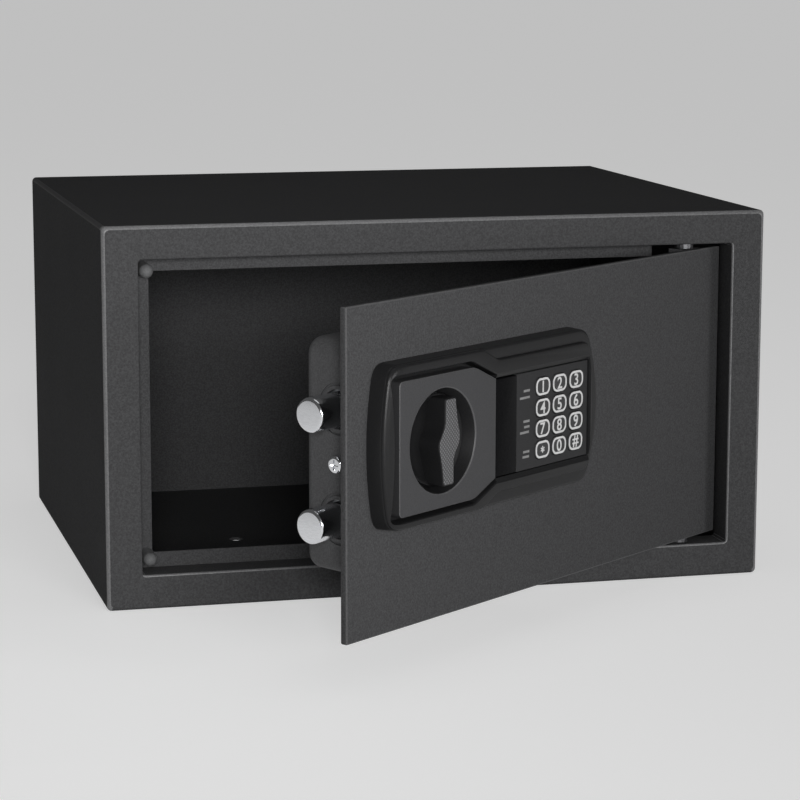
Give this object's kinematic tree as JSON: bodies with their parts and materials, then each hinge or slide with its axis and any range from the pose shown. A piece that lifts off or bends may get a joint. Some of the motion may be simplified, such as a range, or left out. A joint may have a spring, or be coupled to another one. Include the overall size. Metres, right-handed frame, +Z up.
{
  "type": "electronic safe",
  "caption": "Steel laptop safe with a right-hinged door, keypad lock, turn knob, two round bolts and a battery cover behind the door.",
  "frame": {"origin": "middle of the cabinet's underside, halfway between its front and back faces", "axes": "+Z up, -Y out of the front, +X to the right as seen from the front"},
  "size_m": [0.43, 0.5607, 0.24],
  "materials": {
    "charcoal_paint": "fine textured powder coat, dark charcoal",
    "rubber_grey": "matt grey rubber",
    "plain_steel": "zinc plated",
    "bright_steel": "polished chrome plate",
    "black_plastic": "satin moulded black",
    "grey_plastic": "fine matt dark grey",
    "smoked_plastic": "gloss smoked black",
    "red_plastic": "clear-coated red",
    "green_plastic": "tinted green",
    "board_green": "green solder resist",
    "brass": "turned brass",
    "cell_wrap": "dark printed shrink sleeve"
  },
  "bodies": {
    "cabinet": {"front_frame": "charcoal_paint", "body_wrap": "charcoal_paint", "back_panel": "charcoal_paint", "door_stop": "charcoal_paint", "bumper_upper": "rubber_grey", "bumper_lower": "rubber_grey", "hinge_washer_upper": "plain_steel", "hinge_washer_lower": "plain_steel"},
    "door": {"door_panel": "charcoal_paint", "hinge_block_upper": "charcoal_paint", "hinge_block_lower": "charcoal_paint", "hinge_pin_upper": "plain_steel", "hinge_pin_lower": "plain_steel", "lock_housing": "black_plastic", "dial_plate": "grey_plastic", "status_window": "smoked_plastic", "status_led_red": "red_plastic", "status_led_green": "green_plastic", "keypad_panel": "grey_plastic", "keypad_board": "board_green", "spindle_bush": "brass", "bolt_guide": "plain_steel", "lock_cover": "charcoal_paint", "cover_bracket": "plain_steel", "cover_screw_left": "bright_steel", "cover_screw_right": "bright_steel", "battery_box": "black_plastic", "battery_cell_1": "cell_wrap", "battery_cell_2": "cell_wrap", "battery_cell_3": "cell_wrap", "battery_cell_4": "cell_wrap", "contact_plate_left": "plain_steel", "contact_plate_right": "plain_steel", "solenoid_body": "plain_steel", "control_board": "board_green", "board_post": "brass"},
    "key_1": {"key_1": "grey_plastic"},
    "key_2": {"key_2": "grey_plastic"},
    "key_3": {"key_3": "grey_plastic"},
    "key_4": {"key_4": "grey_plastic"},
    "key_5": {"key_5": "grey_plastic"},
    "key_6": {"key_6": "grey_plastic"},
    "key_7": {"key_7": "grey_plastic"},
    "key_8": {"key_8": "grey_plastic"},
    "key_9": {"key_9": "grey_plastic"},
    "key_star": {"key_star": "grey_plastic"},
    "key_0": {"key_0": "grey_plastic"},
    "key_hash": {"key_hash": "grey_plastic"},
    "knob": {"knob": "black_plastic", "knob_spindle": "plain_steel", "drive_cam": "plain_steel"},
    "bolts": {"bolt_carriage": "plain_steel", "bolt_upper": "bright_steel", "bolt_lower": "bright_steel", "bolt_screw_upper": "plain_steel", "bolt_screw_lower": "plain_steel"},
    "solenoid_plunger": {"solenoid_plunger": "plain_steel"},
    "battery_cover": {"battery_cover": "charcoal_paint"},
    "reset_button": {"reset_button": "red_plastic"}
  },
  "joints": [
    {"name": "door_hinge", "type": "hinge", "parent": "cabinet", "child": "door", "pos_m": [0.164, -0.164, 0.12], "axis": [0, 0, 1], "range_deg": [-37, 58]},
    {"name": "bolt_slide", "type": "slide", "parent": "door", "child": "bolts", "axis": [-0.7986, -0.6018, 0], "range_m": [0, 0.015]},
    {"name": "knob_turn", "type": "hinge", "parent": "door", "child": "knob", "pos_m": [-0.05579, -0.3434, 0.133], "axis": [0.6018, -0.7986, 0], "range_deg": [0, 90]},
    {"name": "plunger_slide", "type": "slide", "parent": "door", "child": "solenoid_plunger", "axis": [0, 0, -1], "range_m": [0, 0.0065]},
    {"name": "battery_cover_slide", "type": "slide", "parent": "door", "child": "battery_cover", "axis": [0.7986, 0.6018, 0], "range_m": [0, 0.012]},
    {"name": "reset_button_press", "type": "slide", "parent": "door", "child": "reset_button", "axis": [0.6018, -0.7986, 0], "range_m": [0, 0.002], "stiffness_N_per_m": 400},
    {"name": "key_1_press", "type": "slide", "parent": "door", "child": "key_1", "axis": [-0.6018, 0.7986, 0], "range_m": [0, 0.0008], "stiffness_N_per_m": 800},
    {"name": "key_2_press", "type": "slide", "parent": "door", "child": "key_2", "axis": [-0.6018, 0.7986, 0], "range_m": [0, 0.0008], "stiffness_N_per_m": 800},
    {"name": "key_3_press", "type": "slide", "parent": "door", "child": "key_3", "axis": [-0.6018, 0.7986, 0], "range_m": [0, 0.0008], "stiffness_N_per_m": 800},
    {"name": "key_4_press", "type": "slide", "parent": "door", "child": "key_4", "axis": [-0.6018, 0.7986, 0], "range_m": [0, 0.0008], "stiffness_N_per_m": 800},
    {"name": "key_5_press", "type": "slide", "parent": "door", "child": "key_5", "axis": [-0.6018, 0.7986, 0], "range_m": [0, 0.0008], "stiffness_N_per_m": 800},
    {"name": "key_6_press", "type": "slide", "parent": "door", "child": "key_6", "axis": [-0.6018, 0.7986, 0], "range_m": [0, 0.0008], "stiffness_N_per_m": 800},
    {"name": "key_7_press", "type": "slide", "parent": "door", "child": "key_7", "axis": [-0.6018, 0.7986, 0], "range_m": [0, 0.0008], "stiffness_N_per_m": 800},
    {"name": "key_8_press", "type": "slide", "parent": "door", "child": "key_8", "axis": [-0.6018, 0.7986, 0], "range_m": [0, 0.0008], "stiffness_N_per_m": 800},
    {"name": "key_9_press", "type": "slide", "parent": "door", "child": "key_9", "axis": [-0.6018, 0.7986, 0], "range_m": [0, 0.0008], "stiffness_N_per_m": 800},
    {"name": "key_star_press", "type": "slide", "parent": "door", "child": "key_star", "axis": [-0.6018, 0.7986, 0], "range_m": [0, 0.0008], "stiffness_N_per_m": 800},
    {"name": "key_0_press", "type": "slide", "parent": "door", "child": "key_0", "axis": [-0.6018, 0.7986, 0], "range_m": [0, 0.0008], "stiffness_N_per_m": 800},
    {"name": "key_hash_press", "type": "slide", "parent": "door", "child": "key_hash", "axis": [-0.6018, 0.7986, 0], "range_m": [0, 0.0008], "stiffness_N_per_m": 800}
  ],
  "couplings": [
    {"joint": "knob_turn", "follows": "bolt_slide", "rad_per_m": 104.72}
  ]
}
